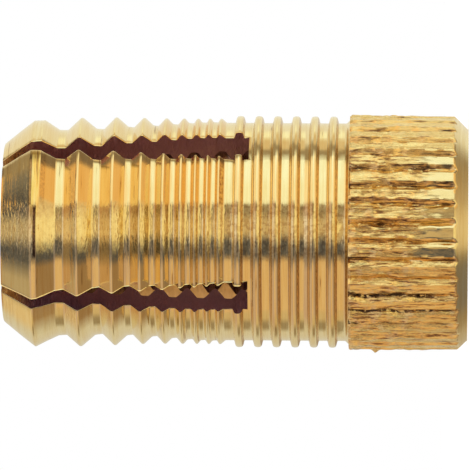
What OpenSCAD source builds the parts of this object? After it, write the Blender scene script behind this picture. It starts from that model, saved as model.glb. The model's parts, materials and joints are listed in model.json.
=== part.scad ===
// Brass expansion anchor: a one-piece turned sleeve with a threaded bore.
// A knurled collar keeps it from turning in its drilled hole, and two crossing saw cuts
// split the other end into four ribbed legs, crimped together until a screw spreads them.
// Millimetres. The sleeve stands on its mouth face, whose centre is the origin, with +Z
// along the axis towards the slit tip.

/* [Sleeve] */
// Length from the mouth face to the tip face
sleeve_l = 25; // [22:0.5:32]
// Metal between the thread's major radius and the drilled hole
wall = 1; // [0.8:0.05:1.6]

/* [Thread] */
// Major radius of the screw thread
thread_r = 5; // [4:0.5:6]
// Pitch of the screw thread
thread_pitch = 1.5; // [1:0.25:1.75]
// How far the mouth's countersink passes the thread's major radius
sink_clear = 0.1; // [0:0.05:0.25]

/* [Collar] */
// Length of the collar along the axis
collar_h = 6.38; // [4:0.02:8]
// How far the collar stands proud of the drilled hole's radius
collar_bite = 0.35; // [0.2:0.01:0.5]
// Chamfer at the mouth end of the collar
collar_chamfer = 0.66; // [0.3:0.02:0.8]
// Number of straight grooves in the knurl
knurl_n = 38; // [24:2:44]
// Depth of a knurl groove
knurl_depth = 0.22; // [0.1:0.01:0.4]
// Angle between the two walls of a knurl groove, in degrees
knurl_angle = 90; // [60:5:95]
// Angle from a slot's middle to the next knurl groove, in degrees
knurl_phase = 0; // [0:0.2:8]

/* [Holding ribs] */
// How far the plain shank stays inside the drilled hole's radius
shank_clear = 0.12; // [0.05:0.01:0.3]
// How far the narrow ribs stand proud of the drilled hole's radius
hold_bite = 0.25; // [0.15:0.01:0.35]
// Width of the circle that rounds a narrow rib's crest
hold_w = 0.46; // [0.2:0.02:0.5]
// Width of a narrow rib at its foot
hold_foot = 0.5; // [0.4:0.02:0.8]
// Distance from one narrow rib to the next
hold_pitch = 1.006; // [0.8:0.002:1.4]
// Distance from the collar's shoulder to the first narrow rib
hold_gap = 0.88; // [0.6:0.02:1.6]

/* [Grip ribs] */
// Number of grip ribs on the legs
grip_n = 9; // [6:1:10]
// How far the grip ribs stand proud of the drilled hole's radius
grip_bite = 0.1; // [0.05:0.01:0.2]
// Flat on the crest of the first grip rib, next to the tip
first_land = 0.48; // [0.1:0.02:0.8]
// Flat left on the crest of every other grip rib
grip_land = 0.1; // [0.04:0.01:0.2]
// Distance from the first grip rib to the second, next to the tip
pitch_first = 2.28; // [1.8:0.02:2.6]
// Distance between the last two grip ribs
pitch_last = 0.6; // [0.5:0.02:0.9]
// How quickly the pitch falls away from the tip: 1 is evenly
pitch_curve = 1.85; // [1:0.05:2.5]
// Depth of the deepest grooves between grip ribs
groove_max = 0.64; // [0.4:0.02:0.8]
// Depth of a shallower groove for each millimetre of its pitch
groove_slope = 0.35; // [0.2:0.01:0.4]
// Share of a groove's width that is its flat floor
floor_share = 0.23; // [0.1:0.01:0.4]
// Share of a groove's two flanks that lies on its tip side
flank_share = 0.54; // [0.4:0.01:0.7]

/* [Tip] */
// Length of the nose cone, from the tip face to the first grip rib's flat
nose_l = 1.615; // [1.2:0.005:2.4]
// How far the nose cone falls from the first grip rib to the tip face
nose_drop = 1.26; // [0.8:0.02:1.6]

/* [Slots] */
// Depth of the saw cuts from the tip face
slot_l = 13.25; // [9:0.05:15]
// Width of a slot at its floor, as sawn
slot_w = 1.86; // [1:0.02:2.2]
// Width left at the tip face after crimping
slot_tip_w = 0.48; // [0.3:0.02:1]
// How the crimping grows from the slots' floors to the tip: 1 is evenly
crimp_curve = 1.4; // [1:0.1:2]

/* [Hidden] */
$fn = 96;

// Height of a 60 degree internal thread, from its minor to its major radius, in pitches
thread_height = 0.5413;

// Radii, all worked out from the thread and the drilled hole
hole_r = thread_r + wall;
bore_r = thread_r - thread_height * thread_pitch;
sink_r = thread_r + sink_clear;
collar_r = hole_r + collar_bite;
shank_r = hole_r - shank_clear;
hold_r = hole_r + hold_bite;
grip_r = hole_r + grip_bite;
tip_r = grip_r - nose_drop;

// Crimping four slots shortens the bore's circumference, which draws the legs in.
// Step k of the crimped length lies at crimp_z(k), and crimp(k) of the crimping is reached there
slot_count = 4;
slot_floor_z = sleeve_l - slot_l;
leg_draw = slot_count * (slot_w - slot_tip_w) / (2 * PI);
crimp_steps = 6;
function crimp(k) = pow(k / crimp_steps, crimp_curve);
function crimp_z(k) = slot_floor_z + slot_l * k / crimp_steps;
function slot_side(k) = (slot_w - (slot_w - slot_tip_w) * crimp(k)) / 2;

// Grip ribs: pitch i lies between ribs i and i + 1, counted from the tip
function land(i) = i == 0 ? first_land : grip_land;
function pitch(i) = pitch_last + (pitch_first - pitch_last) * pow(1 - i / (grip_n - 2), pitch_curve);
function grip_z(i) = i == 0 ? sleeve_l - nose_l - first_land / 2 : grip_z(i - 1) - pitch(i - 1);
function groove_depth(i) = min(groove_max, groove_slope * pitch(i));

// Narrow ribs: as many as fit between the collar and the last grip rib
last_flank = pitch_last * (1 - floor_share) * flank_share;
last_foot_z = grip_z(grip_n - 1) - grip_land / 2 - last_flank;
hold_first_z = collar_h + hold_gap;
hold_n = floor((last_foot_z - hold_foot / 2 - hold_first_z) / hold_pitch) + 1;
crest_turn = 75;
crest_step = 25;

// Outline of a narrow rib, from its mouth side to its tip side
function hold_rib(z) = [
    [shank_r, z - hold_foot / 2],
    for (a = [-crest_turn : crest_step : crest_turn])
        [hold_r - hold_w / 2 * (1 - cos(a)), z + hold_w / 2 * sin(a)],
    [shank_r, z + hold_foot / 2]
];

// Outline of the groove on the tip side of grip rib i + 1, up to grip rib i
function grip_groove(i) =
    let (low = grip_z(i + 1) + grip_land / 2)
    let (high = grip_z(i) - land(i) / 2)
    let (flanks = (high - low) * (1 - floor_share))
    let (root_r = grip_r - groove_depth(i)) [
        [grip_r, low],
        [root_r, low + flanks * (1 - flank_share)],
        [root_r, high - flanks * flank_share],
        [grip_r, high]
    ];

// Outline of the sleeve's wall: up the outside from the mouth, then down the bore
wall_outline = [
    [collar_r - collar_chamfer, 0],
    [collar_r, collar_chamfer],
    [collar_r, collar_h],
    [shank_r, collar_h],
    for (i = [0 : 1 : hold_n - 1]) each hold_rib(hold_first_z + i * hold_pitch),
    [shank_r, last_foot_z],
    [grip_r, grip_z(grip_n - 1) - grip_land / 2],
    for (i = [grip_n - 2 : -1 : 0]) each grip_groove(i),
    [grip_r, sleeve_l - nose_l],
    [tip_r, sleeve_l],
    for (k = [crimp_steps : -1 : 0]) [bore_r - leg_draw * crimp(k), crimp_z(k)],
    [bore_r, sink_r - bore_r],
    [sink_r, 0]
];

// One saw cut right across the tip, narrowed towards the tip by the crimping
module saw_cut() {
    overrun_z = sleeve_l + slot_l / 10;
    rotate([90, 0, 0])
        linear_extrude(height = 4 * collar_r, center = true)
            polygon([
                for (k = [0 : crimp_steps]) [slot_side(k), crimp_z(k)],
                [slot_tip_w / 2, overrun_z],
                [-slot_tip_w / 2, overrun_z],
                for (k = [crimp_steps : -1 : 0]) [-slot_side(k), crimp_z(k)]
            ]);
}

// One straight V-groove along the collar, open at the shoulder and at the chamfer
module knurl_groove() {
    overrun = hold_gap / 4;
    outside = 2 * knurl_depth;
    half_w = outside * tan(knurl_angle / 2);
    translate([collar_r - knurl_depth, 0, -overrun])
        linear_extrude(height = collar_h + 2 * overrun)
            polygon([[0, 0], [outside, -half_w], [outside, half_w]]);
}

// The whole anchor, one piece of turned brass
module anchor_sleeve() {
    color([0.85, 0.66, 0.33])
        difference() {
            rotate_extrude() polygon(wall_outline);
            for (i = [0 : slot_count / 2 - 1])
                rotate([0, 0, i * 360 / slot_count]) saw_cut();
            for (i = [0 : knurl_n - 1])
                rotate([0, 0, knurl_phase + i * 360 / knurl_n]) knurl_groove();
        }
}

anchor_sleeve();
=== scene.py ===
import json
import math

import bmesh
import bpy
import numpy as np
from mathutils import Matrix, Vector


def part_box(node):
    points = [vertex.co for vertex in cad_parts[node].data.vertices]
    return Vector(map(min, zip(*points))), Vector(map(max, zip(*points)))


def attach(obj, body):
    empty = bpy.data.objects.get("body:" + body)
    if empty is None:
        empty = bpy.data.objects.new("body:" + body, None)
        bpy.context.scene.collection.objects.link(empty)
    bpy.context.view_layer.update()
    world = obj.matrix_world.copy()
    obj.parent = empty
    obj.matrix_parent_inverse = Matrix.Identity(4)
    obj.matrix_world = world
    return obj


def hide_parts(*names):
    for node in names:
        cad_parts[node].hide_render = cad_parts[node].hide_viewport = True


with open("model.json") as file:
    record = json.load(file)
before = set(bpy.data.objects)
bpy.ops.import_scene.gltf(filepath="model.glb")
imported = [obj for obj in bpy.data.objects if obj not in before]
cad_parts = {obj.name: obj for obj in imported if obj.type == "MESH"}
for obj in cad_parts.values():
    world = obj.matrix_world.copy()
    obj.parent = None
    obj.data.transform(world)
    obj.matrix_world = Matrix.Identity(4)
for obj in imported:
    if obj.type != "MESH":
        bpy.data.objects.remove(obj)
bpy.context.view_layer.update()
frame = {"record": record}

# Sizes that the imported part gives, in millimetres
MM = 0.001
NODE = "anchor_sleeve"
BOX_LOW, BOX_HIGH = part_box(NODE)
MOUNT_SIZES = {mount["name"]: mount["dims"] for mount in frame["record"]["mounts"]}
LENGTH = (BOX_HIGH.z - BOX_LOW.z) / MM
COLLAR_R = (BOX_HIGH.x - BOX_LOW.x) / 2 / MM
BORE_R = MOUNT_SIZES["thread"]["r_mm"]
GRIP_R = MOUNT_SIZES["drilled_hole"]["r_mm"]

# Photograph: 470 pixels square, the sleeve lying along it with its tip at the left. CAMERA_TURN is the
# camera's angle about the sleeve's axis, counted from +X, in radians
PHOTO_PX = 470
MM_PER_PX = 0.05405
MOUTH_PX = 467.6
AXIS_PX = 231.5
EYE_PX = 440
PHOTO_AZIMUTH = 38.0
PHOTO_ROLL = 0.4
CAMERA_DISTANCE = 400
CAMERA_TURN = math.radians(PHOTO_AZIMUTH - 90)
TURN = 2 * math.pi

# Collar, in millimetres and radians. Its chamfer was cut off centre, and it has one burr
COLLAR_H = 6.38
CHAMFER = 0.66
CHAMFER_OFF = 0.15
CHAMFER_TURN = math.radians(42)
FILLET = 0.18
BURR_Z = 4.95
BURR_H = 0.34
BURR_L = 0.18
BURR_TURN = 0.05

# Knurl: depths in millimetres, and half a groove's width as a share of a tooth
KNURL_N = 38
KNURL_DEPTH = 0.22
KNURL_LIP = 0.03
LAND_DROP = 0.05
GROOVE_HALF = 0.21

# Narrow holding ribs on the shank, in millimetres
SHANK_R = 5.88
HOLD_R = 6.25
HOLD_W = 0.46
HOLD_FLAT = 0.09
HOLD_FOOT = 0.5
HOLD_PITCH = 1.006
HOLD_GAP = 0.88
HOLD_N = 6
HOLD_TOP = COLLAR_H + HOLD_GAP + (HOLD_N - 0.5) * HOLD_PITCH

# Grip ribs, counted from the tip, in millimetres. Those below SMALL_TOP are small and rounder than the rest
GRIP_N = 9
FIRST_LAND = 0.48
GRIP_LAND = 0.1
PITCH_FIRST = 2.28
PITCH_LAST = 0.6
PITCH_CURVE = 1.85
GROOVE_MAX = 0.64
GROOVE_SLOPE = 0.35
FLOOR_SHARE = 0.23
FLOOR_MIN = 0.28
FLOOR_RISE = 0.08
FLANK_SHARE = 0.54
SMALL_TOP = 15.8
SMALL_FADE = 2

# Nose cone above the first grip rib, in millimetres. That rib's crest has rows of faces at an even step
NOSE_L = 1.615
NOSE_Z = LENGTH - NOSE_L
TIP_R = 4.84
TIP_BREAK = 0.03
NOSE_BULGE = 0.015
FIRST_CREST = NOSE_Z - FIRST_LAND / 2
CREST_REACH = 0.45
CREST_STEP = 0.045

# Slots and thread, in millimetres. Each saw cut runs a little beside the axis. The thread has the height
# of a standard internal one, crests and flanks given in shares of its pitch, and runs out at the tip
SLOT_COUNT = 4
QUARTER = TURN / SLOT_COUNT
SLOT_L = 13.25
SLOT_W = 1.86
SLOT_TIP_W = 0.48
CRIMP_CURVE = 1.4
SLOT_SHIFTS = (-0.2, -0.2, 0.2, 0.2)
SLOT_TIP_SHIFTS = (-0.17, 0.03, -0.03, -0.03)
SLOT_FLOOR = LENGTH - SLOT_L
SLOT_CLOSED = SLOT_FLOOR + 6
LEG_DRAW = SLOT_COUNT * (SLOT_W - SLOT_TIP_W) / TURN
THREAD_PITCH = 1.5
CREST_HALF = 0.05
THREAD_FLANK = 0.32
THREAD_SHIFT = 0.3
THREAD_H = 0.5413 * THREAD_PITCH
THREAD_END = (LENGTH - 0.9, LENGTH - 0.2)
SINK_CLEAR = 0.1
SINK_R = BORE_R + THREAD_H + SINK_CLEAR

# Uneven crimping, in millimetres: the legs lean to one side and bow outwards between these heights
LEAN = 0.14
LEAN_RISE = (LENGTH - 0.6 * SLOT_L, LENGTH - 1.5)
BOW = 0.08
BOW_RISE = (LENGTH - 8.5, LENGTH - 5)
BOW_FALL = (LENGTH - 3.5, LENGTH - 1.5)

# Wear, in millimetres: the first grip rib's crest is worn, but sharp low on two of the legs
WORN_R = 6.12
WORN_MORE = 0.05
SHARP_OFF = {2: 0.06, 3: 0.28}
SHARP_FLANK = 1.22
SHARP_BELOW = (-0.34, -0.24)


def smoothstep(low, high, x):
    """0 below low, 1 above high and a smooth rise between them."""
    t = np.clip((x - low) / (high - low), 0, 1)
    return t * t * (3 - 2 * t)


def round_noise(turn, height, cells, cell_length, seed):
    """Smooth noise from -1 to 1 that closes round the axis, with cells that long along it."""
    rows = int(LENGTH / cell_length) + 4
    grid = np.random.default_rng(seed).uniform(-1, 1, (rows, cells))
    across = np.asarray(turn) * cells
    along = np.asarray(height) / cell_length + 1
    i, j = np.floor(across).astype(int), np.floor(along).astype(int)
    s, t = smoothstep(0, 1, across - i), smoothstep(0, 1, along - j)
    j = np.clip(j, 0, rows - 2)
    left, right = i % cells, (i + 1) % cells
    low = grid[j, left] * (1 - s) + grid[j, right] * s
    high = grid[j + 1, left] * (1 - s) + grid[j + 1, right] * s
    return low * (1 - t) + high * t


# Outline of the turned outside

def grip_pitch(i):
    """Distance from grip rib i to the next one away from the tip."""
    return PITCH_LAST + (PITCH_FIRST - PITCH_LAST) * (1 - i / (GRIP_N - 2)) ** PITCH_CURVE


def grip_heights():
    """Height of every grip rib's crest above the mouth face, from the tip down."""
    steps = [grip_pitch(i) for i in range(GRIP_N - 1)]
    return FIRST_CREST - np.concatenate([[0], np.cumsum(steps)])


def hold_rib(z):
    """(height, radius) corners of one narrow rib, with a small flat on its round crest."""
    edge = (HOLD_W - HOLD_FLAT) / 2
    turns = np.radians(np.arange(0, 76, 15))
    rounding = [(HOLD_FLAT / 2 + edge * math.sin(a), HOLD_R - edge * (1 - math.cos(a))) for a in turns]
    half = [*rounding, (HOLD_FOOT / 2, SHANK_R)]
    return [(z - off, r) for off, r in reversed(half)] + [(z + off, r) for off, r in half]


def grip_groove(low, high, depth):
    """(height, radius) corners of a groove from one grip rib's land up to the next."""
    floor = max(FLOOR_MIN, FLOOR_SHARE * (high - low))
    flanks = high - low - floor
    root = GRIP_R - depth
    return [
        (low, GRIP_R),
        (low + flanks * (1 - FLANK_SHARE), root),
        (high - flanks * FLANK_SHARE, root + FLOOR_RISE * floor),
        (high, GRIP_R),
    ]


def shank_outline():
    """(height, radius) corners of the outside from the collar's shoulder up to the tip face."""
    crests = grip_heights()
    last_flank = PITCH_LAST * (1 - FLOOR_SHARE) * FLANK_SHARE
    last_land = crests[-1] - GRIP_LAND / 2
    corners = [(COLLAR_H, SHANK_R + FILLET), (COLLAR_H + FILLET, SHANK_R)]
    for i in range(HOLD_N):
        corners += hold_rib(COLLAR_H + HOLD_GAP + i * HOLD_PITCH)
    corners += [(last_land - last_flank, SHANK_R), (last_land, GRIP_R)]
    for i in range(GRIP_N - 2, -1, -1):
        depth = min(GROOVE_MAX, GROOVE_SLOPE * grip_pitch(i))
        land = GRIP_LAND if i else FIRST_LAND
        corners += grip_groove(crests[i + 1] + GRIP_LAND / 2, crests[i] - land / 2, depth)
    peak = first_peak(corners)
    middle = ((peak[0] + LENGTH) / 2, (peak[1] + TIP_R) / 2 + NOSE_BULGE)
    tip = [(LENGTH - 2 * TIP_BREAK, TIP_R + TIP_BREAK), (LENGTH, TIP_R - TIP_BREAK)]
    return [*corners, peak, middle, *tip]


def first_peak(corners):
    """(height, radius) where the first rib's two flanks would meet if its crest weren't worn."""
    (root_z, root_r), (low, _) = corners[-2:]
    rise = (GRIP_R - root_r) / (low - root_z)
    fall = (GRIP_R - TIP_R) / NOSE_L
    peak = (rise * low + fall * NOSE_Z) / (rise + fall)
    return peak, GRIP_R + rise * (peak - low)


def worn_crest(angle):
    """Radius that the first grip rib is worn down to, at that angle round the axis."""
    return WORN_R - WORN_MORE * np.sin(angle - CAMERA_TURN)


def sharp_crest(leg, angle):
    """1 on the lower side of the photograph, where the first rib has a sharp crest, and 0 elsewhere."""
    lower = smoothstep(*SHARP_BELOW, -np.sin(angle - CAMERA_TURN))
    return lower if leg in SHARP_OFF else 0


def sharp_flank(leg, z):
    """Radius of the first rib's long flank on that leg, from its crest down to the groove's root."""
    off = SHARP_OFF.get(leg, 0)
    fall = (NOSE_Z - off - z) * GROOVE_MAX / (SHARP_FLANK - off)
    return WORN_R + WORN_MORE - np.clip(fall, 0, GROOVE_MAX)


def simplify(z, r, tolerance):
    """Indices of the points that keep the curve r(z) within that tolerance."""
    keep, spans = {0, len(z) - 1}, [(0, len(z) - 1)]
    while spans:
        a, b = spans.pop()
        if b - a < 2:
            continue
        line = r[a] + (r[b] - r[a]) * (z[a : b + 1] - z[a]) / (z[b] - z[a])
        off = np.abs(r[a : b + 1] - line)
        worst = a + int(off.argmax())
        if off.max() > tolerance:
            keep.add(worst)
            spans += [(a, worst), (worst, b)]
    return sorted(keep)


def blurred(r, step, blur):
    """The curve r, sampled at that step, with its corners rounded by a blur of that length."""
    reach = int(3 * blur / step)
    weights = np.exp(-0.5 * (np.arange(-reach, reach + 1) * step / blur) ** 2)
    padded = np.pad(r, reach, mode="edge")
    padded[-reach:] = r[-1] + (r[-1] - r[-2]) * np.arange(1, reach + 1)
    return np.convolve(padded, weights / weights.sum(), "valid")


def rounded_rows(corners, step=0.005, blur=0.025, soft_blur=0.035, tolerance=0.005):
    """Heights and radii of the outline's rows. The small grip ribs are rounder than the rest."""
    heights = np.array([c[0] for c in corners]) + np.arange(len(corners)) * 1e-7
    radii = np.array([c[1] for c in corners])
    z = np.arange(COLLAR_H, LENGTH + step / 2, step)
    r = np.interp(z, heights, radii)
    small = smoothstep(HOLD_TOP, HOLD_TOP + 0.1, z) * (1 - smoothstep(SMALL_TOP, SMALL_TOP + SMALL_FADE, z))
    r = blurred(r, step, blur) * (1 - small) + blurred(r, step, soft_blur) * small
    kept = simplify(z, r, tolerance)
    crest_rows = np.arange(FIRST_CREST - CREST_REACH, FIRST_CREST + CREST_REACH, CREST_STEP)
    straights = [(a, b) for a, b in zip(heights, heights[1:]) if b - a > 5 * blur]
    straight_ends = [end for a, b in straights for end in (a + 2 * blur, b - 2 * blur)]
    rows = np.union1d(z[kept], [SLOT_FLOOR, *crest_rows, *straight_ends])
    return rows, np.interp(rows, z, r)


# Slots, thread and knurl

def crimped(z):
    """How far the crimping has closed the slots at that height, from 0 at their floors to 1 at the tip."""
    return np.clip((z - SLOT_FLOOR) / SLOT_L, 0, 1) ** CRIMP_CURVE


def slot_half_width(z):
    """Half of a slot's width at that height."""
    return (SLOT_W + (SLOT_TIP_W - SLOT_W) * crimped(z)) / 2


def slot_shift(slot, z):
    """How far that slot's middle lies beside the axis at that height: the crimping moves it."""
    sawn, at_tip = SLOT_SHIFTS[slot % SLOT_COUNT], SLOT_TIP_SHIFTS[slot % SLOT_COUNT]
    return sawn + (at_tip - sawn) * smoothstep(SLOT_FLOOR, SLOT_CLOSED, z)


def bore_radius(turn, z):
    """Radius of the threaded bore, tapering through the legs, with a countersunk mouth."""
    phase = ((z + THREAD_SHIFT) / THREAD_PITCH - turn) % 1
    off_crest = np.abs(phase - 0.5)
    depth = THREAD_H * np.clip((off_crest - CREST_HALF) / THREAD_FLANK, 0, 1)
    tip_fade = 1 - smoothstep(*THREAD_END, z)
    radius = BORE_R - LEG_DRAW * crimped(z) + depth * tip_fade
    return np.maximum(radius, SINK_R - z)


def knurl_radius(turn, z):
    """Radius of the knurled collar: straight V-grooves whose lands are torn towards the shoulder."""
    torn = smoothstep(0.8, 3.6, z + 0.8 * round_noise(turn, z, KNURL_N, 1.5, 18))
    sway = 0.06 * round_noise(turn, z, KNURL_N, 0.9, 11) * (0.3 + torn)
    tooth = turn * KNURL_N + sway
    off_groove = np.abs(tooth - np.round(tooth))
    half_groove = GROOVE_HALF + 0.04 * torn + 0.04 * round_noise(turn, z, KNURL_N * 2, 0.5, 12)
    groove = np.clip(1 - off_groove / half_groove, 0, 1)
    run_out = 0.6 + 0.4 * smoothstep(CHAMFER, CHAMFER + 0.35, z)
    uneven = 0.9 + 0.15 * torn + 0.2 * round_noise(turn, z, KNURL_N, 0.8, 13)
    depth = KNURL_DEPTH * run_out * uneven
    lip = KNURL_LIP * np.exp(-((off_groove - half_groove - 0.04) / 0.05) ** 2)
    streak = 1 - np.abs(round_noise(turn, z, KNURL_N * 4, 0.9, 14))
    fine = round_noise(turn, z, KNURL_N * 7, 0.4, 15)
    tear = (0.08 + torn) * (0.06 * (streak - 0.6) + 0.03 * fine)
    radius = COLLAR_R - LAND_DROP - depth * groove + lip * (0.3 + torn) + tear
    return np.minimum(radius, COLLAR_R + 0.02) + burr(turn, z)


def burr(turn, z):
    """A flake of torn metal at the lower edge of the photograph."""
    below = turn * TURN - CAMERA_TURN + math.pi / 2
    aside = (below + math.pi) % TURN - math.pi
    return BURR_H * np.exp(-((aside / BURR_TURN) ** 2) - ((z - BURR_Z) / BURR_L) ** 2)


def chamfer_radius(turn, z):
    """Radius of the chamfer at the mouth, which was cut a little off centre."""
    off_centre = CHAMFER_OFF * np.sin(turn * TURN - CAMERA_TURN + CHAMFER_TURN)
    return COLLAR_R - CHAMFER + z - off_centre + 0.006 * round_noise(turn, z, 40, 0.5, 16)


def collar_radius(turn, z):
    """Radius of the collar: the knurl, cut by the chamfer at the mouth and broken at the shoulder."""
    broken = 0.05 * smoothstep(COLLAR_H - 0.1, COLLAR_H, z)
    broken = broken * (1.4 + round_noise(turn, z, KNURL_N * 3, 1.0, 17))
    return np.minimum(knurl_radius(turn, z) - broken, chamfer_radius(turn, z))


# Mesh of the sleeve

class Skin:
    """Corners and faces of one closed mesh, gathered row by row."""

    def __init__(self):
        self.corners, self.faces, self.finishes = [], [], []

    def add(self, angle, radius, z):
        """Adds a row of corners given round the axis, bent as the legs are, and returns their numbers."""
        start = len(self.corners)
        angle, radius, z = np.broadcast_arrays(angle, radius, z)
        radius = radius + BOW * (smoothstep(*BOW_RISE, z) * (1 - smoothstep(*BOW_FALL, z)))
        lean = LEAN * smoothstep(*LEAN_RISE, z)
        away = CAMERA_TURN - math.pi / 2
        x = radius * np.cos(angle) + lean * math.cos(away)
        y = radius * np.sin(angle) + lean * math.sin(away)
        points = np.stack([x, y, z], axis=-1)
        self.corners += [tuple(p) for p in points * MM]
        return list(range(start, len(self.corners)))

    def face(self, corners, finish):
        """Adds one face."""
        self.faces.append(corners)
        self.finishes.append(finish)

    def strip(self, a, b, finish, closed=False):
        """Faces between two rows with as many corners each, with one finish or a list of them."""
        count = len(a)
        for i in range(count if closed else count - 1):
            k = (i + 1) % count
            self.face((a[i], a[k], b[k], b[i]), finish[i] if isinstance(finish, list) else finish)

    def strips(self, rows, finish, closed=False):
        """Faces between each of those rows and the next."""
        for a, b in zip(rows, rows[1:]):
            self.strip(a, b, finish, closed)

    def zip(self, a, a_key, b, b_key, finish):
        """Triangles between two chains whose keys both rise along them."""
        i = j = 0
        while i < len(a) - 1 or j < len(b) - 1:
            if j == len(b) - 1 or (i < len(a) - 1 and a_key[i + 1] <= b_key[j + 1]):
                self.face((a[i], a[i + 1], b[j]), finish)
                i += 1
            else:
                self.face((a[i], b[j + 1], b[j]), finish)
                j += 1

    def zip_rings(self, a, a_angle, b, b_angle, finish):
        """Triangles between two closed rings whose angles rise from about the same start."""
        a_key, b_key = [*a_angle, a_angle[0] + TURN], [*b_angle, b_angle[0] + TURN]
        self.zip([*a, a[0]], a_key, [*b, b[0]], b_key, finish)

    def build(self, name, materials):
        """Makes the mesh, with its normals outwards and its sharp edges kept, and puts it in the scene."""
        mesh = bpy.data.meshes.new(name)
        mesh.from_pydata(self.corners, [], self.faces)
        mesh.polygons.foreach_set("material_index", self.finishes)
        shape = bmesh.new()
        shape.from_mesh(mesh)
        bmesh.ops.recalc_face_normals(shape, faces=shape.faces)
        shape.to_mesh(mesh)
        shape.free()
        mesh.shade_smooth()
        mesh.set_sharp_from_angle(angle=math.radians(36))
        for material in materials:
            mesh.materials.append(material)
        piece = bpy.data.objects.new(name, mesh)
        bpy.context.scene.collection.objects.link(piece)
        return piece


# Finishes, and how many columns and rows of faces there are. Extra columns lie near a leg's sawn edges,
# which are rounded there by EDGE_DROP, in millimetres. One edge of one leg is raised instead
TURNED, KNURLED, SAWN, THREADED = range(4)
LEG_OUT, SLOT_OUT = 22, 6
LEG_IN, SLOT_IN = 14, 4
THREAD_ROWS = 12
LEG_EDGE = [0.03, 0.065]
EDGE_DROP = [0.03, 0.006]
RAISED_LEG, RAISED_END = 3, 0
EDGE_RISE = 1.7
COLLAR_PER_TOOTH = 13
COLLAR_CROWDING = 0.35
COLLAR_STEP = 0.072


def leg_shares(count, edge=()):
    """Shares of the way across a leg, with extra columns near its two sawn edges."""
    inner = np.linspace(0, 1, count + 1)
    near = np.array(edge) / (QUARTER * SHANK_R)
    return np.union1d(inner, [*near, *(1 - near)])


SHARES_OUT = leg_shares(LEG_OUT, LEG_EDGE)
SHARES_IN = leg_shares(LEG_IN)


def leg_angles(leg, left, right, shares):
    """Angles across a leg whose sawn edges start those angles away from the slots' middles."""
    return leg * QUARTER + left + shares * (QUARTER - left - right)


def saw_edge(slot, side, z, radius, ragged=0.0):
    """Angle from a slot's middle to its edge at that radius, on its far side (1) or near side (-1)."""
    return np.arcsin((slot_half_width(z) + side * slot_shift(slot, z) + ragged) / radius)


def skin_bumps(angles, z):
    """Faint unevenness of the turned outside, in millimetres."""
    return 0.004 * round_noise(angles / TURN, z, 30, 0.5, 23)


def outer_leg_row(leg, z, radius):
    """Angles and radii of one row of a leg's outside, with ragged sawn edges."""
    floor_fade = smoothstep(SLOT_FLOOR, SLOT_FLOOR + 0.3, z)
    ragged = [0.02 * round_noise((leg + 0.3 * side) / SLOT_COUNT, z, 16, 0.22, 21) for side in (0, 1)]
    left = saw_edge(leg, 1, z, radius, ragged[0] * floor_fade)
    right = saw_edge(leg + 1, -1, z, radius, ragged[1] * floor_fade)
    angles = leg_angles(leg, left, right, SHARES_OUT)
    if z > NOSE_Z - 3 * FIRST_LAND:
        radius = np.minimum(radius, worn_crest(angles))
        radius = radius - sharp_crest(leg, angles) * np.clip(radius - sharp_flank(leg, z), 0, None)
    from_edge = np.minimum(SHARES_OUT, 1 - SHARES_OUT) * QUARTER * SHANK_R
    drop = np.interp(from_edge, [0, *LEG_EDGE], [*EDGE_DROP, 0]) * floor_fade
    if leg == RAISED_LEG:
        drop = np.where(np.abs(SHARES_OUT - RAISED_END) < 0.5, -EDGE_RISE * drop, drop)
    edge_burr = 0.02 * round_noise(angles / TURN, z, 24, 0.3, 22) * np.exp(-from_edge / 0.07) * floor_fade
    return angles, radius - drop + edge_burr + skin_bumps(angles, z)


def inner_leg_row(leg, z):
    """Angles and radii of one row of a leg's threaded inside."""
    ends = []
    for slot, side in ((leg, 1), (leg + 1, -1)):
        off = saw_edge(slot, side, z, BORE_R)
        for _ in range(3):
            off = saw_edge(slot, side, z, bore_radius((slot * QUARTER + side * off) / TURN, z))
        ends.append(off)
    angles = leg_angles(leg, *ends, SHARES_IN)
    return angles, bore_radius(angles / TURN, z)


def with_slots(rows, slot_columns):
    """Angles of a whole ring: each leg's columns, then those across the slot after it."""
    angles = []
    for leg, row in enumerate(rows):
        following = rows[leg + 1][0] if leg + 1 < SLOT_COUNT else rows[0][0] + TURN
        angles += [row, np.linspace(row[-1], following, slot_columns + 1)[1:-1]]
    return np.concatenate(angles)


def ring_parts(ring, leg_count, slot_columns):
    """Splits a ring's corner numbers into those of each leg and those across each slot."""
    size = leg_count + slot_columns - 1
    legs = [ring[k * size : k * size + leg_count] for k in range(SLOT_COUNT)]
    closed = ring + ring[:1]
    slots = [closed[k * size + leg_count - 1 : (k + 1) * size + 1] for k in range(SLOT_COUNT)]
    return legs, slots


def thread_rows(low, high):
    """Heights of the bore's rows between two heights."""
    return np.linspace(low, high, round((high - low) / THREAD_PITCH * THREAD_ROWS) + 1)


def add_shank(skin, rows, radii, angles):
    """The shank from the shoulder to the slots' floors. Returns its rings of corners."""
    rings = [skin.add(angles, r + skin_bumps(angles, z), z) for z, r in zip(rows, radii)]
    skin.strips(rings, TURNED, closed=True)
    return rings


def add_bore(skin, angles):
    """The bore from the mouth to the slots' floors. Returns its rings of corners."""
    rings = [skin.add(angles, bore_radius(angles / TURN, z), z) for z in thread_rows(0, SLOT_FLOOR)]
    skin.strips(rings, THREADED, closed=True)
    return rings


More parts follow.
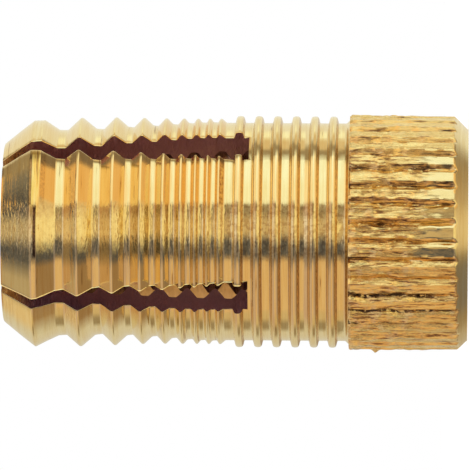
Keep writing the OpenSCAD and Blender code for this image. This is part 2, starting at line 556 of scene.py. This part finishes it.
def add_leg(skin, leg, rows, radii, outer_foot, inner_foot):
    """One leg on its two feet at the slots' floors: outside, inside, sawn walls and tip face."""
    outside, inside = [outer_foot], [inner_foot]
    rows_in = thread_rows(SLOT_FLOOR, LENGTH)
    for z, r in zip(rows[1:], radii[1:]):
        outside.append(skin.add(*outer_leg_row(leg, z, r), z))
    for z in rows_in[1:]:
        inside.append(skin.add(*inner_leg_row(leg, z), z))
    skin.strips(outside, TURNED)
    skin.strips(inside, THREADED)
    for end in (0, -1):
        outer_edge, inner_edge = [row[end] for row in outside], [row[end] for row in inside]
        skin.zip(outer_edge, rows, inner_edge, rows_in, SAWN)
    skin.zip(outside[-1], SHARES_OUT, inside[-1], SHARES_IN, TURNED)


def collar_angles(start):
    """Angles round the collar, crowded in the knurl's grooves and rising from about that start."""
    even = np.arange(KNURL_N * COLLAR_PER_TOOTH) / COLLAR_PER_TOOTH
    crowded = even - COLLAR_CROWDING * np.sin(TURN * even) / TURN
    return np.sort((crowded / KNURL_N * TURN - start) % TURN) + start


def add_collar(skin, angles):
    """The collar from its shoulder down to the mouth. Returns its first and last ring of corners."""
    turns = angles / TURN
    rows = np.concatenate([
        np.linspace(COLLAR_H, COLLAR_H - 0.12, 4),
        np.arange(COLLAR_H - 0.19, CHAMFER + 0.25, -COLLAR_STEP),
        np.linspace(CHAMFER + 0.2, 0, 15),
    ])
    rings = [skin.add(angles, collar_radius(turns, z), z) for z in rows]
    for z, above, below in zip(rows, rings, rings[1:]):
        on_chamfer = chamfer_radius(turns, z) < knurl_radius(turns, z)
        skin.strip(below, above, np.where(on_chamfer, TURNED, KNURLED).tolist(), closed=True)
    return rings[0], rings[-1]


def build_sleeve(materials):
    """The whole sleeve as one closed mesh."""
    skin = Skin()
    rows, radii = rounded_rows(shank_outline())
    floor_row = int(np.argmin(np.abs(rows - SLOT_FLOOR)))
    legs = range(SLOT_COUNT)
    angles_out = with_slots([outer_leg_row(k, SLOT_FLOOR, radii[floor_row])[0] for k in legs], SLOT_OUT)
    angles_in = with_slots([inner_leg_row(k, SLOT_FLOOR)[0] for k in legs], SLOT_IN)
    outer = add_shank(skin, rows[: floor_row + 1], radii[: floor_row + 1], angles_out)
    inner = add_bore(skin, angles_in)
    out_feet, out_slots = ring_parts(outer[-1], len(SHARES_OUT), SLOT_OUT)
    in_feet, in_slots = ring_parts(inner[-1], len(SHARES_IN), SLOT_IN)
    across_out, across_in = np.linspace(0, 1, SLOT_OUT + 1), np.linspace(0, 1, SLOT_IN + 1)
    for k in legs:
        add_leg(skin, k, rows[floor_row:], radii[floor_row:], out_feet[k], in_feet[k])
        skin.zip(out_slots[k], across_out, in_slots[k], across_in, SAWN)
    angles_collar = collar_angles(angles_out[0])
    shoulder, mouth = add_collar(skin, angles_collar)
    skin.zip_rings(shoulder, angles_collar, outer[0], angles_out, TURNED)
    skin.zip_rings(mouth, angles_collar, inner[0], angles_in, TURNED)
    return skin.build("anchor_sleeve_brass", materials)


# Shader nodes

def add_node(tree, kind, inputs=None, **settings):
    """Adds a shader node, sets its options, and sets or links its inputs."""
    made = tree.nodes.new(kind)
    for name, value in settings.items():
        setattr(made, name, value)
    for key, value in (inputs or {}).items():
        if isinstance(value, bpy.types.NodeSocket):
            tree.links.new(value, made.inputs[key])
        else:
            made.inputs[key].default_value = value
    return made


def ramp(tree, factor, stops):
    """A colour ramp with those (place, colour) stops."""
    made = add_node(tree, "ShaderNodeValToRGB", {"Fac": factor})
    elements = made.color_ramp.elements
    while len(elements) < len(stops):
        elements.new(0.5)
    for element, (place, colour) in zip(elements, stops):
        element.position = place
        element.color = (*colour, 1)
    return made.outputs["Color"]


def new_material(name):
    """A material with an empty node tree, its principled shader and coordinates in millimetres."""
    material = bpy.data.materials.new(name)
    material.use_nodes = True
    tree = material.node_tree
    tree.nodes.clear()
    shader = add_node(tree, "ShaderNodeBsdfPrincipled", {"Metallic": 1.0})
    output = add_node(tree, "ShaderNodeOutputMaterial")
    tree.links.new(shader.outputs["BSDF"], output.inputs["Surface"])
    place = add_node(tree, "ShaderNodeTexCoord").outputs["Object"]
    scaled = add_node(tree, "ShaderNodeVectorMath", {0: place, "Scale": 1 / MM}, operation="SCALE")
    return material, tree, shader, scaled.outputs["Vector"]


def noise(tree, vector, scale, detail=2.0, roughness=0.5, stretch=None):
    """Noise with that many cells per millimetre, optionally stretched along the axes."""
    if stretch:
        stretched = add_node(tree, "ShaderNodeVectorMath", {0: vector, 1: stretch}, operation="MULTIPLY")
        vector = stretched.outputs["Vector"]
    made = add_node(
        tree,
        "ShaderNodeTexNoise",
        {"Vector": vector, "Scale": scale, "Detail": detail, "Roughness": roughness},
    )
    return made.outputs["Fac"]


def remap(tree, value, low, high, from_low=0.0, from_high=1.0):
    """A value moved evenly from one range into another."""
    made = add_node(
        tree,
        "ShaderNodeMapRange",
        {"Value": value, "From Min": from_low, "From Max": from_high, "To Min": low, "To Max": high},
    )
    return made.outputs["Result"]


def fade(tree, value, low, high):
    """0 at low, 1 at high and a smooth change between them. Low may be the larger one."""
    made = add_node(
        tree,
        "ShaderNodeMapRange",
        {"Value": value, "From Min": low, "From Max": high},
        interpolation_type="SMOOTHSTEP",
    )
    return made.outputs["Result"]


def band(tree, value, rise, fall):
    """1 between two places, fading in across the first pair of numbers and out across the second."""
    return minus(tree, fade(tree, value, *rise), fade(tree, value, *fall))


def bump(tree, height, distance, strength=1.0, normal=None):
    """Bump of that depth in millimetres."""
    inputs = {"Height": height, "Distance": distance * MM, "Strength": strength}
    if normal:
        inputs["Normal"] = normal
    return add_node(tree, "ShaderNodeBump", inputs).outputs["Normal"]


def mix_colour(tree, share, below, above):
    """One colour fading into another."""
    made = add_node(tree, "ShaderNodeMix", {"Factor": share}, data_type="RGBA")
    tree.links.new(below, [s for s in made.inputs if s.name == "A" and s.type == "RGBA"][0])
    tree.links.new(above, [s for s in made.inputs if s.name == "B" and s.type == "RGBA"][0])
    return [s for s in made.outputs if s.type == "RGBA"][0]


def math_node(tree, operation, first, second=0.0):
    """Result of an operation on two numbers or sockets."""
    return add_node(tree, "ShaderNodeMath", {0: first, 1: second}, operation=operation).outputs[0]


def plus(tree, first, second):
    """Sum of two numbers or sockets."""
    return math_node(tree, "ADD", first, second)


def minus(tree, first, second):
    """Difference of two numbers or sockets."""
    return math_node(tree, "SUBTRACT", first, second)


def times(tree, first, second):
    """Product of two numbers or sockets."""
    return math_node(tree, "MULTIPLY", first, second)


def larger(tree, first, second):
    """The larger of two numbers or sockets."""
    return math_node(tree, "MAXIMUM", first, second)


def along_axis(tree, vector):
    """Part of a vector that lies along the axis, towards the tip."""
    return add_node(tree, "ShaderNodeSeparateXYZ", {"Vector": vector}).outputs["Z"]


def from_axis(tree, vector):
    """Part of a vector that lies across the axis, as a length."""
    flat = add_node(tree, "ShaderNodeVectorMath", {0: vector, 1: (1, 1, 0)}, operation="MULTIPLY")
    length = add_node(tree, "ShaderNodeVectorMath", {0: flat.outputs["Vector"]}, operation="LENGTH")
    return length.outputs["Value"]


def towards(tree, vector, angle):
    """Part of a vector that lies towards that angle round the axis."""
    side = (math.cos(angle), math.sin(angle), 0)
    made = add_node(tree, "ShaderNodeVectorMath", {0: vector, 1: side}, operation="DOT_PRODUCT")
    return made.outputs["Value"]


def photo_near(tree, vector):
    """Part of a vector that lies towards the camera."""
    return towards(tree, vector, CAMERA_TURN)


def photo_up(tree, vector):
    """Part of a vector that lies towards the top of the photograph."""
    return towards(tree, vector, CAMERA_TURN + math.pi / 2)


def surface_normal(tree):
    """Direction that the surface faces."""
    return add_node(tree, "ShaderNodeTexCoord").outputs["Normal"]


# Materials

# Colours of the metal, of dirty patches on it and of the shade painted on it
BRASS_PALE = (0.94, 0.79, 0.45)
BRASS_DEEP = (0.88, 0.68, 0.33)
BRASS_RICH = (0.96, 0.74, 0.36)
BRASS_TORN = (0.92, 0.62, 0.25)
BRASS_LIT = (1.0, 0.79, 0.37)
BRASS_WORN = (0.88, 0.60, 0.17)
# The two darkest colours stand both for dirty patches and for painted shade
BRASS_GRIME_AND_SHADE = (0.36, 0.20, 0.09)
BRASS_DARK_GRIME_AND_SHADE = (0.10, 0.06, 0.035)
BRASS_SAWN = (0.80, 0.56, 0.26)
# These two colours are painted shade on the saw cuts' walls and inside the bore
BRASS_SHADE_WARM = (0.78, 0.46, 0.43)
BRASS_SHADE_DULL = (0.55, 0.33, 0.40)

# Bands of marks, and the low band of painted shade on the knurl, fade in and out between these places, in
# millimetres up the photograph from the axis.
# Lines of painted shade have a height above the mouth, half a width, and two places up the photograph where
# they end
WORN_BAND = ((0.5, 1.5), (4.1, 4.3))
MOTTLED_BAND = ((-2.0, -1.0), (1.3, 1.7))
LOW_SHADE_BAND = ((-5.1, -4.7), (-3.4, -3.0))
LINE_BELOW_LAST = (grip_heights()[-1] - 0.17, 0.09, 1.3, 4.2)
LINE_BELOW_CREST = (NOSE_Z - 0.65, 0.1, 1.3, 4.2)
LINE_ON_NOSE = (NOSE_Z, 0.06, 1.2, 4.2)
LINE_ON_CREST = (NOSE_Z - 0.26, 0.06, -1.6, 1.4)
# Turn towards which the painted shade on the saw cuts' walls grows
WALL_SHADE_TURN = math.radians(-20)


def shade_line(tree, mm, middle, half, low, high):
    """1 on a line round the photographed side: at that height, and between those places up the picture."""
    off = math_node(tree, "ABSOLUTE", minus(tree, along_axis(tree, mm), middle))
    line = minus(tree, 1.0, fade(tree, off, half, half + 0.04))
    inside = band(tree, photo_up(tree, mm), (low, low + 0.25), (high - 0.25, high))
    return times(tree, times(tree, line, inside), fade(tree, photo_near(tree, mm), 0.0, 1.0))


def turned_colour(tree, mm, rings):
    """Colour of clean turned brass, which is gilt on the worn crest of the first grip rib."""
    colour = ramp(tree, rings, [(0.25, BRASS_GRIME_AND_SHADE), (0.33, BRASS_DEEP), (0.6, BRASS_PALE)])
    gilt = ramp(tree, rings, [(0.3, BRASS_GRIME_AND_SHADE), (0.4, BRASS_WORN), (0.7, BRASS_RICH)])
    off_crest = math_node(tree, "ABSOLUTE", minus(tree, along_axis(tree, mm), FIRST_CREST))
    worn = minus(tree, band(tree, photo_up(tree, mm), *WORN_BAND), fade(tree, off_crest, 0.2, 0.3))
    return mix_colour(tree, larger(tree, worn, 0.0), colour, gilt)


def shaded_flanks(tree, mm):
    """How far the grip ribs' flanks take painted shade high up the photograph: most on the small ribs."""
    height = along_axis(tree, mm)
    sides = math_node(tree, "ABSOLUTE", along_axis(tree, surface_normal(tree)))
    grip = fade(tree, height, HOLD_TOP, HOLD_TOP + 0.1)
    small = remap(tree, fade(tree, height, SMALL_TOP, SMALL_TOP + SMALL_FADE), 0.9, 0.25)
    flanks = times(tree, times(tree, fade(tree, sides, 0.35, 0.55), grip), small)
    return times(tree, flanks, fade(tree, photo_up(tree, mm), 1.2, 1.6))


def turned_dirt_and_shade(tree, mm, colour, scuffs, pits):
    """That colour, dirty in pits, with painted shade on steps that face the mouth, on grip ribs' flanks and
    in lines.
    """
    # Colours of the dirty pits and of the painted shade on mouth-facing steps, lines and flanks
    grime_and_shade = ramp(tree, scuffs, [(0.3, BRASS_GRIME_AND_SHADE), (0.7, BRASS_TORN)])
    dark_shade = ramp(tree, scuffs, [(0.35, BRASS_DARK_GRIME_AND_SHADE), (0.7, BRASS_GRIME_AND_SHADE)])
    # Colour of the painted shade on the grip ribs' flanks
    flank_shade = ramp(tree, scuffs, [(0.3, BRASS_SAWN), (0.7, BRASS_TORN)])
    facing_mouth = times(tree, along_axis(tree, surface_normal(tree)), -1.0)
    shank = fade(tree, along_axis(tree, mm), COLLAR_H, COLLAR_H + 0.1)
    # Steps that face the mouth take painted shade
    step = times(tree, fade(tree, facing_mouth, 0.68, 0.86), shank)
    # The lines below the ribs, on the nose and on the first crest are painted shade
    on_nose = times(tree, shade_line(tree, mm, *LINE_ON_NOSE), 0.8)
    for share, dirt_and_shade in (
        (step, grime_and_shade),
        (times(tree, pits, 0.7), grime_and_shade),
        (shaded_flanks(tree, mm), flank_shade),
        (shade_line(tree, mm, *LINE_BELOW_LAST), grime_and_shade),
        (times(tree, shade_line(tree, mm, *LINE_BELOW_CREST), 0.5), grime_and_shade),
        (larger(tree, on_nose, shade_line(tree, mm, *LINE_ON_CREST)), dark_shade),
    ):
        colour = mix_colour(tree, share, colour, dirt_and_shade)
    return colour


def turned_brass():
    """Bright brass with fine rings left by the turning tool, mottled across the photograph's middle."""
    material, tree, shader, mm = new_material("turned_brass")
    rings = noise(tree, mm, 1.0, 3.0, 0.6, stretch=(0.3, 0.3, 6.5))
    chatter = noise(tree, mm, 1.0, 2.0, 0.5, stretch=(2.0, 2.0, 10.0))
    scuffs = noise(tree, mm, 6.0, 3.0, 0.6)
    height = along_axis(tree, mm)
    shank = fade(tree, height, COLLAR_H, COLLAR_H + 0.1)
    narrow = minus(tree, 1.0, fade(tree, height, HOLD_TOP, HOLD_TOP + 0.1))
    mottled = times(tree, band(tree, photo_up(tree, mm), *MOTTLED_BAND), shank)
    blotches = times(tree, fade(tree, noise(tree, mm, 3.0, 2.0, 0.6), 0.56, 0.42), 0.7)
    blotches = times(tree, blotches, remap(tree, narrow, 0.4, 1.0))
    pits = times(tree, mottled, larger(tree, fade(tree, chatter, 0.4, 0.32), blotches))
    # The turned colour gets its dirty pits and its painted shade here
    colour = turned_dirt_and_shade(tree, mm, turned_colour(tree, mm, rings), scuffs, pits)
    tree.links.new(colour, shader.inputs["Base Color"])
    sides = math_node(tree, "ABSOLUTE", along_axis(tree, surface_normal(tree)))
    satin = times(tree, times(tree, fade(tree, sides, 0.25, 0.5), narrow), 0.2)
    polish = remap(tree, scuffs, 0.06, 0.16, 0.35, 0.75)
    tree.links.new(larger(tree, polish, satin), shader.inputs["Roughness"])
    nose = fade(tree, height, NOSE_Z - 0.1, NOSE_Z + 0.1)
    chattered = times(tree, mottled, remap(tree, narrow, 1.0, 0.4))
    normal = bump(tree, rings, 0.007, strength=remap(tree, nose, 0.3, 1.0))
    normal = bump(tree, chatter, 0.013, strength=remap(tree, chattered, 0.115, 1.0), normal=normal)
    tree.links.new(bump(tree, scuffs, 0.001, normal=normal), shader.inputs["Normal"])
    return material


def knurl_land(tree, patches, streaks, torn, top, low_shade):
    """Colour of the knurl's lands, smooth or torn. The torn ones get painted light at the top and painted
    shade in the low band.
    """
    smooth_colour = ramp(tree, patches, [(0.3, BRASS_PALE), (0.72, BRASS_DEEP)])
    # Painted light on the top of the collar and painted shade on its low band
    tone = plus(tree, streaks, times(tree, top, 0.06))
    tone = plus(tree, tone, times(tree, low_shade, -0.04))
    torn_colour = ramp(tree, tone, [(0.39, BRASS_GRIME_AND_SHADE), (0.43, BRASS_TORN), (0.56, BRASS_LIT)])
    return mix_colour(tree, torn, smooth_colour, torn_colour)


def knurl_grime_and_shade(tree, patches, streaks, top, low_shade):
    """Colour of the knurl's grooves, dirty and in painted shade, blackest in the low band of painted shade
    and lighter at the top as painted light.
    """
    dirt_and_shade = plus(tree, streaks, remap(tree, patches, 0.25, -0.25))
    dirt_and_shade = plus(tree, dirt_and_shade, times(tree, low_shade, -0.15))
    dirt_and_shade = plus(tree, dirt_and_shade, times(tree, top, 0.05))
    return ramp(tree, dirt_and_shade, [(0.36, BRASS_DARK_GRIME_AND_SHADE), (0.43, BRASS_GRIME_AND_SHADE), (0.53, BRASS_TORN)])


def clean_knurl(tree, mm, flecks):
    """1 on the knurl's clean lands, and 0 in its grooves, which are dirty, and on groove walls that face
    downwards; both take painted shade.
    """
    upwards, radius = photo_up(tree, mm), from_axis(tree, mm)
    depth = plus(tree, radius, remap(tree, flecks, -0.08, 0.08))
    # Low on the collar more of each groove takes painted shade
    depth = plus(tree, depth, times(tree, fade(tree, upwards, -3.0, -3.4), -0.09))
    high = fade(tree, depth, COLLAR_R - 0.32, COLLAR_R - 0.27)
    # Groove walls that face downwards take painted shade
    over = minus(tree, photo_up(tree, surface_normal(tree)), math_node(tree, "DIVIDE", upwards, radius))
    over = plus(tree, over, remap(tree, flecks, -0.3, 0.3))
    return math_node(tree, "MINIMUM", high, fade(tree, over, -0.45, -0.2))


def knurled_brass():
    """Brass of the knurled collar: smooth near the mouth, torn near the shoulder, with dirty grooves in
    painted shade, painted light at the top and painted shade low down.
    """
    material, tree, shader, mm = new_material("knurled_brass")
    patches = noise(tree, mm, 1.2, 3.0, 0.6, stretch=(1, 1, 0.5))
    streaks = noise(tree, mm, 7.0, 4.0, 0.65, stretch=(1, 1, 0.1))
    flecks = noise(tree, mm, 9.0, 3.0, 0.7, stretch=(1, 1, 0.3))
    upwards = photo_up(tree, mm)
    # The top of the collar takes painted light and a low band takes painted shade
    top = fade(tree, upwards, 4.0, 4.7)
    low_shade = band(tree, upwards, *LOW_SHADE_BAND)
    torn = fade(tree, plus(tree, along_axis(tree, mm), remap(tree, patches, -1.8, 1.8)), 1.8, 3.0)
    torn = larger(tree, torn, larger(tree, top, fade(tree, upwards, -1.2, -1.8)))
    clean = clean_knurl(tree, mm, flecks)
    grime_and_shade = knurl_grime_and_shade(tree, patches, streaks, top, low_shade)
    colour = mix_colour(tree, clean, grime_and_shade, knurl_land(tree, patches, streaks, torn, top, low_shade))
    specks = plus(tree, flecks, times(tree, low_shade, 0.04))
    specks = times(tree, fade(tree, specks, 0.62, 0.66), torn)
    grains = times(tree, fade(tree, noise(tree, mm, 5.0, 0.0), 0.58, 0.64), low_shade)
    grains = times(tree, grains, minus(tree, 1.0, clean))
    bright = ramp(tree, streaks, [(0.3, BRASS_RICH), (0.7, BRASS_PALE)])
    colour = mix_colour(tree, larger(tree, specks, grains), colour, bright)
    tree.links.new(colour, shader.inputs["Base Color"])
    tree.links.new(remap(tree, flecks, 0.08, 0.24, 0.3, 0.75), shader.inputs["Roughness"])
    normal = bump(tree, flecks, 0.02, strength=remap(tree, torn, 0.1, 1.0))
    normal = bump(tree, streaks, 0.035, strength=remap(tree, torn, 0.15, 1.0), normal=normal)
    tree.links.new(normal, shader.inputs["Normal"])
    return material


def sawn_brass():
    """Rough brass of the saw cuts: painted shade on the near side, darker painted shade on the far one,
    bare at the tip.
    """
    material, tree, shader, mm = new_material("sawn_brass")
    nearness = towards(tree, mm, CAMERA_TURN + WALL_SHADE_TURN)
    height = along_axis(tree, mm)
    marks = noise(tree, mm, 5.0, 2.0, 0.6, stretch=(0.6, 0.6, 1.6))
    place = plus(tree, nearness, remap(tree, marks, -0.8, 0.8))
    # Painted shade that grows on the walls towards the camera's side
    wall_shade = remap(tree, place, 0.0, 1.0, -2.5, 4.7)
    warm = [(0.5, BRASS_SHADE_WARM), (0.62, BRASS_SHADE_WARM)]
    colour = ramp(tree, wall_shade, [(0.2, BRASS_SAWN), *warm, (0.95, BRASS_SHADE_DULL)])
    # Darker painted shade on the far walls where the slots close
    dark_shade = ramp(tree, marks, [(0.3, BRASS_DARK_GRIME_AND_SHADE), (0.7, BRASS_GRIME_AND_SHADE)])
    closed = fade(tree, height, SLOT_CLOSED, SLOT_CLOSED + 0.5)
    colour = mix_colour(tree, times(tree, closed, fade(tree, nearness, 0.0, -1.0)), colour, dark_shade)
    bare = ramp(tree, marks, [(0.3, BRASS_SAWN), (0.7, BRASS_TORN)])
    colour = mix_colour(tree, fade(tree, height, LENGTH - 2.0, LENGTH - 0.5), colour, bare)
    tree.links.new(colour, shader.inputs["Base Color"])
    tree.links.new(remap(tree, marks, 0.28, 0.5, 0.3, 0.7), shader.inputs["Roughness"])
    tree.links.new(bump(tree, marks, 0.03), shader.inputs["Normal"])
    return material


def threaded_brass():
    """Brass of the tapped bore: clean towards the mouth, with painted shade between the legs but for some
    crests.
    """
    material, tree, shader, mm = new_material("threaded_brass")
    height = along_axis(tree, mm)
    tone = noise(tree, mm, 1.5, 4.0, 0.6)
    clean = ramp(tree, tone, [(0.3, BRASS_PALE), (0.75, BRASS_DEEP)])
    bore_shade = ramp(tree, tone, [(0.3, BRASS_SHADE_DULL), (0.75, BRASS_GRIME_AND_SHADE)])
    fair = ramp(tree, tone, [(0.3, BRASS_RICH), (0.75, BRASS_PALE)])
    # Painted shade goes in the thread's roots, low in the bore and where the legs close
    deep = fade(tree, from_axis(tree, mm), BORE_R + 0.1, BORE_R + 0.3)
    away = larger(tree, fade(tree, photo_up(tree, mm), -2.0, -1.0), deep)
    away = larger(tree, away, fade(tree, height, SLOT_CLOSED, SLOT_CLOSED + 0.5))
    bore_shade = mix_colour(tree, away, fair, bore_shade)
    colour = mix_colour(tree, fade(tree, height, SLOT_FLOOR - 2.5, SLOT_FLOOR), clean, bore_shade)
    tree.links.new(colour, shader.inputs["Base Color"])
    marks = noise(tree, mm, 4.0, 3.0, 0.6, stretch=(0.4, 0.4, 2.5))
    tree.links.new(remap(tree, marks, 0.35, 0.55, 0.3, 0.7), shader.inputs["Roughness"])
    tree.links.new(bump(tree, marks, 0.012), shader.inputs["Normal"])
    return material


def floor_material():
    """Plain pale studio floor."""
    material, tree, shader, mm = new_material("pale_floor")
    shader.inputs["Metallic"].default_value = 0.0
    shader.inputs["Roughness"].default_value = 0.6
    shader.inputs["Emission Color"].default_value = (1, 1, 1, 1)
    shader.inputs["Emission Strength"].default_value = 0.35
    tone = noise(tree, mm, 0.05, 2.0)
    colour = ramp(tree, tone, [(0.3, (0.9, 0.9, 0.9)), (0.7, (0.94, 0.94, 0.93))])
    tree.links.new(colour, shader.inputs["Base Color"])
    return material


# Studio

# Colours of the light that the soft boxes, cards and gaps of the studio send
WHITE = (1.07, 1.16, 1.03)
WARM_WHITE = (1.04, 1.07, 0.86)
CREAM = (0.88, 0.86, 0.74)
IVORY = (1.07, 0.92, 0.62)
STONE = (0.85, 0.76, 0.68)
PALE = (0.68, 0.64, 0.53)
YELLOW = (0.76, 0.61, 0.38)
GOLD = (1.0, 0.86, 0.48)
HONEY = (0.82, 0.64, 0.36)
OCHRE = (0.64, 0.49, 0.28)
SAND = (0.48, 0.39, 0.26)
ORANGE = (0.90, 0.57, 0.23)
AMBER = (0.75, 0.52, 0.28)
CLAY = (0.60, 0.44, 0.36)
COPPER = (0.50, 0.32, 0.17)
KHAKI = (0.35, 0.28, 0.18)
BROWN = (0.34, 0.22, 0.12)
GREY = (0.28, 0.24, 0.24)
UMBER = (0.24, 0.18, 0.12)
OLIVE = (0.21, 0.195, 0.18)
DARK = (0.105, 0.103, 0.115)

# Where they stand: (from, to, colour), in degrees towards the top of the photograph. A surface that leans
# that far from facing the camera reflects them. They differ for surfaces that lie along the axis, for those
# that face the tip or the mouth a little or more, for the nose and for those that face the mouth steeply
LEVEL_CARDS = [
    (-90, -67, PALE), (-62, -57, KHAKI), (-52, -49, OCHRE), (-44, -16, AMBER), (-12, -5, DARK),
    (0, 5, OCHRE), (10, 14.2, KHAKI), (15, 24, WARM_WHITE), (31, 41, WHITE), (45.5, 47.5, KHAKI),
    (50, 56, YELLOW), (60, 64, WARM_WHITE), (69, 90, CREAM),
]
CROWN_CARDS = [
    (-90, -67, PALE), (-62, -57, KHAKI), (-52, -49, OCHRE), (-44, -18, CLAY), (-13, -7, GREY),
    (-1, 12, GOLD), (15, 41, IVORY), (45.5, 47.5, KHAKI), (50, 56, YELLOW), (60, 90, CREAM),
]
TIP_CARDS = [
    (-90, -62, PALE), (-50, -21, CLAY), (-14, -8, GREY), (-3, 6, STONE), (11, 14, CLAY),
    (16, 38, IVORY), (42, 49, KHAKI), (55, 90, CREAM),
]
FLANK_CARDS = [
    (-90, -62, PALE), (-50, -17, COPPER), (-13, -8, DARK), (-3, 11, YELLOW), (15, 36, ORANGE),
    (39, 49, UMBER), (55, 90, CREAM),
]
NOSE_CARDS = [
    (-90, -64, PALE), (-54, -46, YELLOW), (-32, -26, SAND), (-15, -8.5, DARK), (-1, 5, SAND),
    (11, 20, DARK), (28, 31, OLIVE), (37, 46, KHAKI), (54, 90, CREAM),
]
MOUTH_CARDS = [
    (-90, -62, PALE), (-50, -18, BROWN), (-14, -11, DARK), (-3, 7, GOLD), (11, 14, HONEY),
    (16, 36, ORANGE), (39, 49, UMBER), (55, 90, CREAM),
]
STEEP_CARDS = [
    (-90, -64, SAND), (-52, -48, KHAKI), (-40, -16, OLIVE), (-12, -10, KHAKI), (-5, 9, YELLOW),
    (18, 22, SAND), (30, 42, KHAKI), (56, 90, CREAM),
]


def card_stops(cards):
    """Ramp stops for a row of cards, fading into each other across the gaps between them."""
    stops = []
    for low, high, colour in cards:
        stops += [((low + 90) / 180, colour), ((high + 90) / 180, colour)]
    return stops


def studio_light(tree):
    """Light of the cards, by the lean of the surface that would reflect it to the photograph's camera."""
    direction = add_node(tree, "ShaderNodeTexCoord").outputs["Generated"]
    turned = add_node(tree, "ShaderNodeVectorRotate", {"Vector": direction, "Angle": -CAMERA_TURN})
    parts = add_node(tree, "ShaderNodeSeparateXYZ", {"Vector": turned.outputs["Vector"]}).outputs
    forward = plus(tree, parts["X"], 1.0001)
    lean_up = math_node(tree, "ARCTAN2", parts["Y"], forward)
    half = math_node(tree, "SQRT", times(tree, forward, 2.0))
    lean_tip = math_node(tree, "DIVIDE", parts["Z"], half)
    lean_mouth = times(tree, lean_tip, -1.0)
    place = remap(tree, lean_up, 0.0, 1.0, -math.pi / 2, math.pi / 2)
    light = ramp(tree, place, card_stops(LEVEL_CARDS))
    for lean, low, high, cards in (
        (lean_mouth, 0.06, 0.10, CROWN_CARDS),
        (lean_tip, 0.055, 0.085, TIP_CARDS),
        (lean_tip, 0.59, 0.605, NOSE_CARDS),
        (lean_tip, 0.672, 0.682, FLANK_CARDS),
        (lean_mouth, 0.25, 0.45, MOUTH_CARDS),
        (lean_mouth, 0.64, 0.70, STEEP_CARDS),
    ):
        light = mix_colour(tree, fade(tree, lean, low, high), light, ramp(tree, place, card_stops(cards)))
    return light


def studio_world():
    """Cards of soft light for the metal to reflect; plain white behind the sleeve and for the floor."""
    world = bpy.data.worlds.new("studio")
    bpy.context.scene.world = world
    world.use_nodes = True
    tree = world.node_tree
    tree.nodes.clear()
    light = add_node(tree, "ShaderNodeBackground", {"Color": studio_light(tree), "Strength": 1.0})
    white = add_node(tree, "ShaderNodeBackground", {"Color": (1, 1, 1, 1), "Strength": 1.0})
    glossy = add_node(tree, "ShaderNodeLightPath").outputs["Is Glossy Ray"]
    both = add_node(tree, "ShaderNodeMixShader", {0: glossy, 1: white.outputs[0], 2: light.outputs[0]})
    add_node(tree, "ShaderNodeOutputWorld", {"Surface": both.outputs[0]})


def studio_floor():
    """Plain pale floor that the sleeve stands on."""
    size = 1.5
    mesh = bpy.data.meshes.new("floor")
    corners = [(-size, -size, 0), (size, -size, 0), (size, size, 0), (-size, size, 0)]
    mesh.from_pydata(corners, [], [(0, 1, 2, 3)])
    mesh.materials.append(floor_material())
    floor = bpy.data.objects.new("floor", mesh)
    bpy.context.scene.collection.objects.link(floor)
    floor.visible_glossy = False


def photo_camera():
    """A long lens beside the sleeve, turned on its side so that the tip points left."""
    data = bpy.data.cameras.new("camera")
    data.sensor_width = 36
    data.lens = data.sensor_width * CAMERA_DISTANCE / (PHOTO_PX * MM_PER_PX)
    data.clip_start, data.clip_end = 0.01, 10
    camera = bpy.data.objects.new("camera", data)
    bpy.context.scene.collection.objects.link(camera)
    bpy.context.scene.camera = camera
    out = Vector((math.cos(CAMERA_TURN), math.sin(CAMERA_TURN), 0))
    image_up = Vector((-math.sin(CAMERA_TURN), math.cos(CAMERA_TURN), 0))
    drop = (AXIS_PX - PHOTO_PX / 2) * MM_PER_PX
    eye_z = (MOUTH_PX - EYE_PX) * MM_PER_PX
    aim_z = (MOUTH_PX - PHOTO_PX / 2) * MM_PER_PX
    eye = (out * CAMERA_DISTANCE + image_up * drop + Vector((0, 0, eye_z))) * MM
    aim = (image_up * drop + Vector((0, 0, aim_z))) * MM
    back = (eye - aim).normalized()
    along = (Vector((0, 0, -1)) + back * back.z).normalized()
    across = back.cross(along)
    roll = math.radians(PHOTO_ROLL)
    right = along * math.cos(roll) + across * math.sin(roll)
    up = across * math.cos(roll) - along * math.sin(roll)
    turn = Matrix((right, up, back)).transposed()
    camera.matrix_world = Matrix.Translation(eye) @ turn.to_4x4()


photo_camera()
studio_world()
studio_floor()
bpy.context.scene.view_settings.view_transform = "Standard"
sleeve = build_sleeve([turned_brass(), knurled_brass(), sawn_brass(), threaded_brass()])
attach(sleeve, "root")
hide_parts(NODE)
